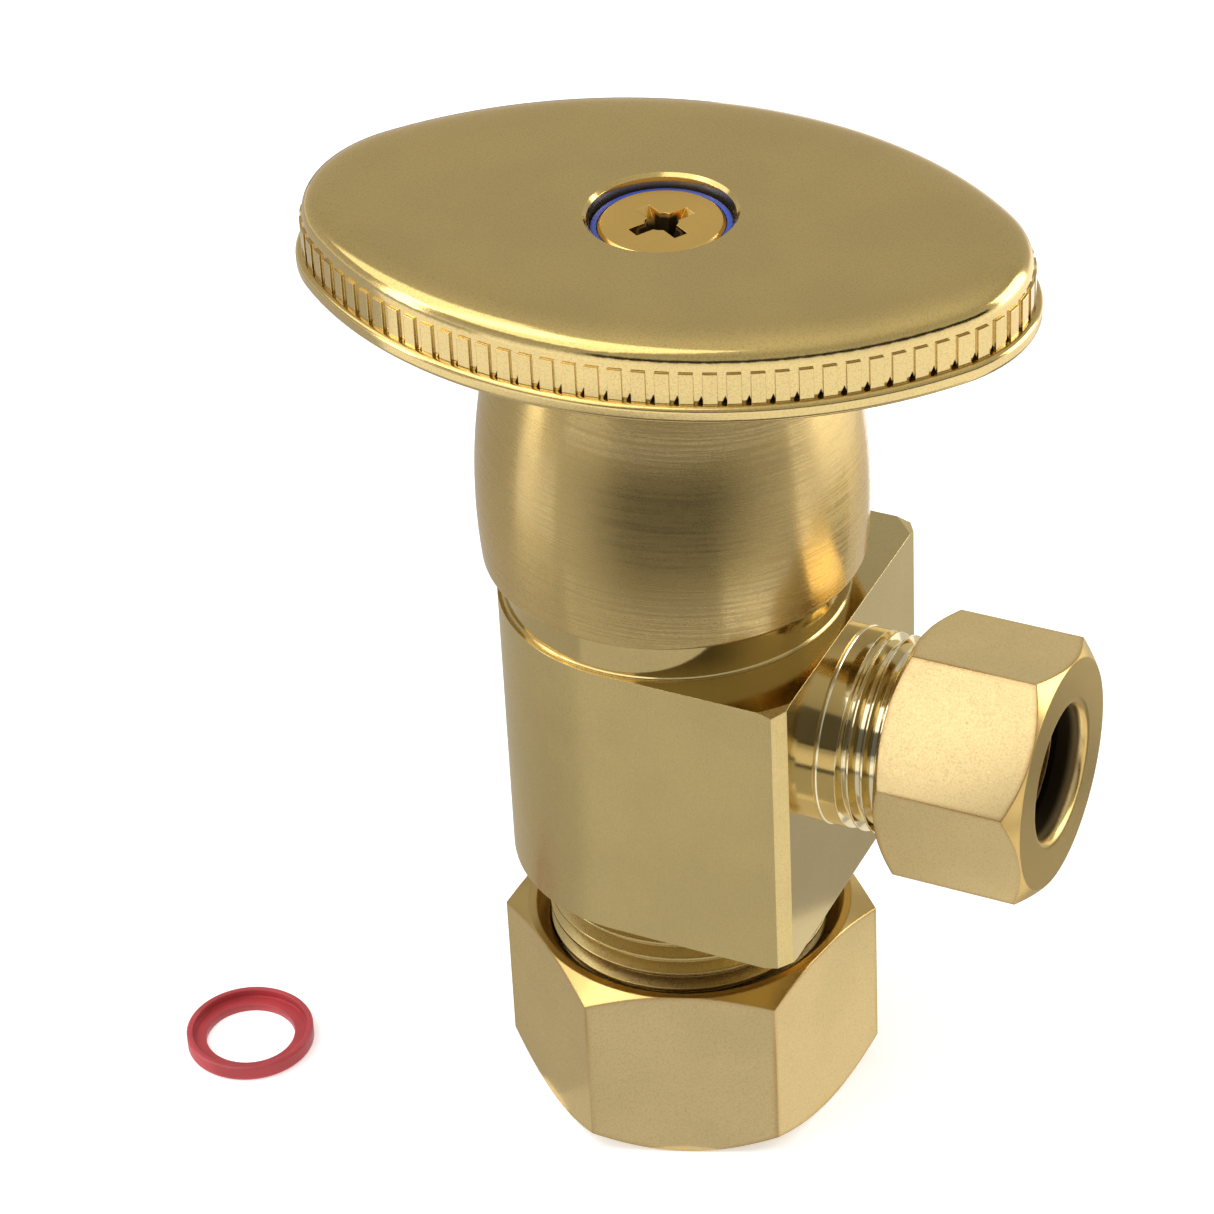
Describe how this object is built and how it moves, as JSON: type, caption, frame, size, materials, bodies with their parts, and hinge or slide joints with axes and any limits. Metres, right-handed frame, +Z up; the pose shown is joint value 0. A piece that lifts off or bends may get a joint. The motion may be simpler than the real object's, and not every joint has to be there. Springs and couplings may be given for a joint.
{
  "type": "angle stop valve",
  "caption": "Brass angle stop valve with an oval coined-edge handle, barrel bell, compression inlet below and smaller compression outlet at the side, with a spare index ring.",
  "frame": {"origin": "centre of the inlet nut's lower face, on the valve's axis", "axes": "+Z up along the stem towards the handle, +X along the outlet, away from the body"},
  "size_m": [0.0659, 0.0346, 0.0733],
  "materials": {
    "body_brass": "satin turned and milled brass",
    "nut_brass": "satin brass with bright chamfers",
    "inner_brass": "machined brass",
    "bell_brass": "brushed round the axis",
    "handle_brass": "polished brass",
    "screw_brass": "polished brass",
    "fibre": "pressed fibre",
    "packing": "graphite packing",
    "seat_rubber": "matte",
    "blue_plastic": "moulded",
    "red_plastic": "moulded"
  },
  "bodies": {
    "root": {"valve_body": "body_brass", "bonnet": "inner_brass", "bonnet_gasket": "fibre", "stem_packing": "packing", "packing_washer": "inner_brass", "packing_nut": "inner_brass", "bonnet_shell": "bell_brass"},
    "valve_disc": {"disc_holder": "inner_brass", "seat_washer": "seat_rubber", "seat_washer_screw": "inner_brass"},
    "spindle": {"stem": "inner_brass", "handle": "handle_brass", "index_ring_cold": "blue_plastic", "handle_screw": "screw_brass"},
    "inlet_sleeve": {"inlet_ferrule": "inner_brass"},
    "inlet_coupling": {"inlet_nut": "nut_brass"},
    "outlet_sleeve": {"outlet_ferrule": "inner_brass"},
    "outlet_coupling": {"outlet_nut": "nut_brass"},
    "spare_ring": {"index_ring_hot": "red_plastic"}
  },
  "joints": [
    {"name": "stem_rise", "type": "slide", "parent": "root", "child": "valve_disc", "axis": [0, 0, 1], "range_m": [0, 0.0045]},
    {"name": "handle_turn", "type": "hinge", "parent": "valve_disc", "child": "spindle", "pos_m": [0, 0, 0.0368], "axis": [0, 0, 1], "range_deg": [0, 1080]},
    {"name": "inlet_nut_travel", "type": "slide", "parent": "root", "child": "inlet_sleeve", "axis": [0, 0, 1], "range_m": [0, 0.00141]},
    {"name": "inlet_nut_turn", "type": "hinge", "parent": "inlet_sleeve", "child": "inlet_coupling", "pos_m": [0, 0, 0.007], "axis": [0, 0, 1], "range_deg": [0, 360]},
    {"name": "outlet_nut_travel", "type": "slide", "parent": "root", "child": "outlet_sleeve", "axis": [-1, 0, 0], "range_m": [0, 0.00106]},
    {"name": "outlet_nut_turn", "type": "hinge", "parent": "outlet_sleeve", "child": "outlet_coupling", "pos_m": [0.0236, 0, 0.0342], "axis": [-1, 0, 0], "range_deg": [0, 360]},
    {"name": "hot_ring_lift", "type": "slide", "parent": "root", "child": "spare_ring", "axis": [0, 0, 1], "range_m": [0, 0.06]}
  ],
  "couplings": [
    {"joint": "stem_rise", "follows": "handle_turn", "m_per_rad": 0.00023873},
    {"joint": "inlet_nut_travel", "follows": "inlet_nut_turn", "m_per_rad": 0.00022458},
    {"joint": "outlet_nut_travel", "follows": "outlet_nut_turn", "m_per_rad": 0.00016844}
  ]
}
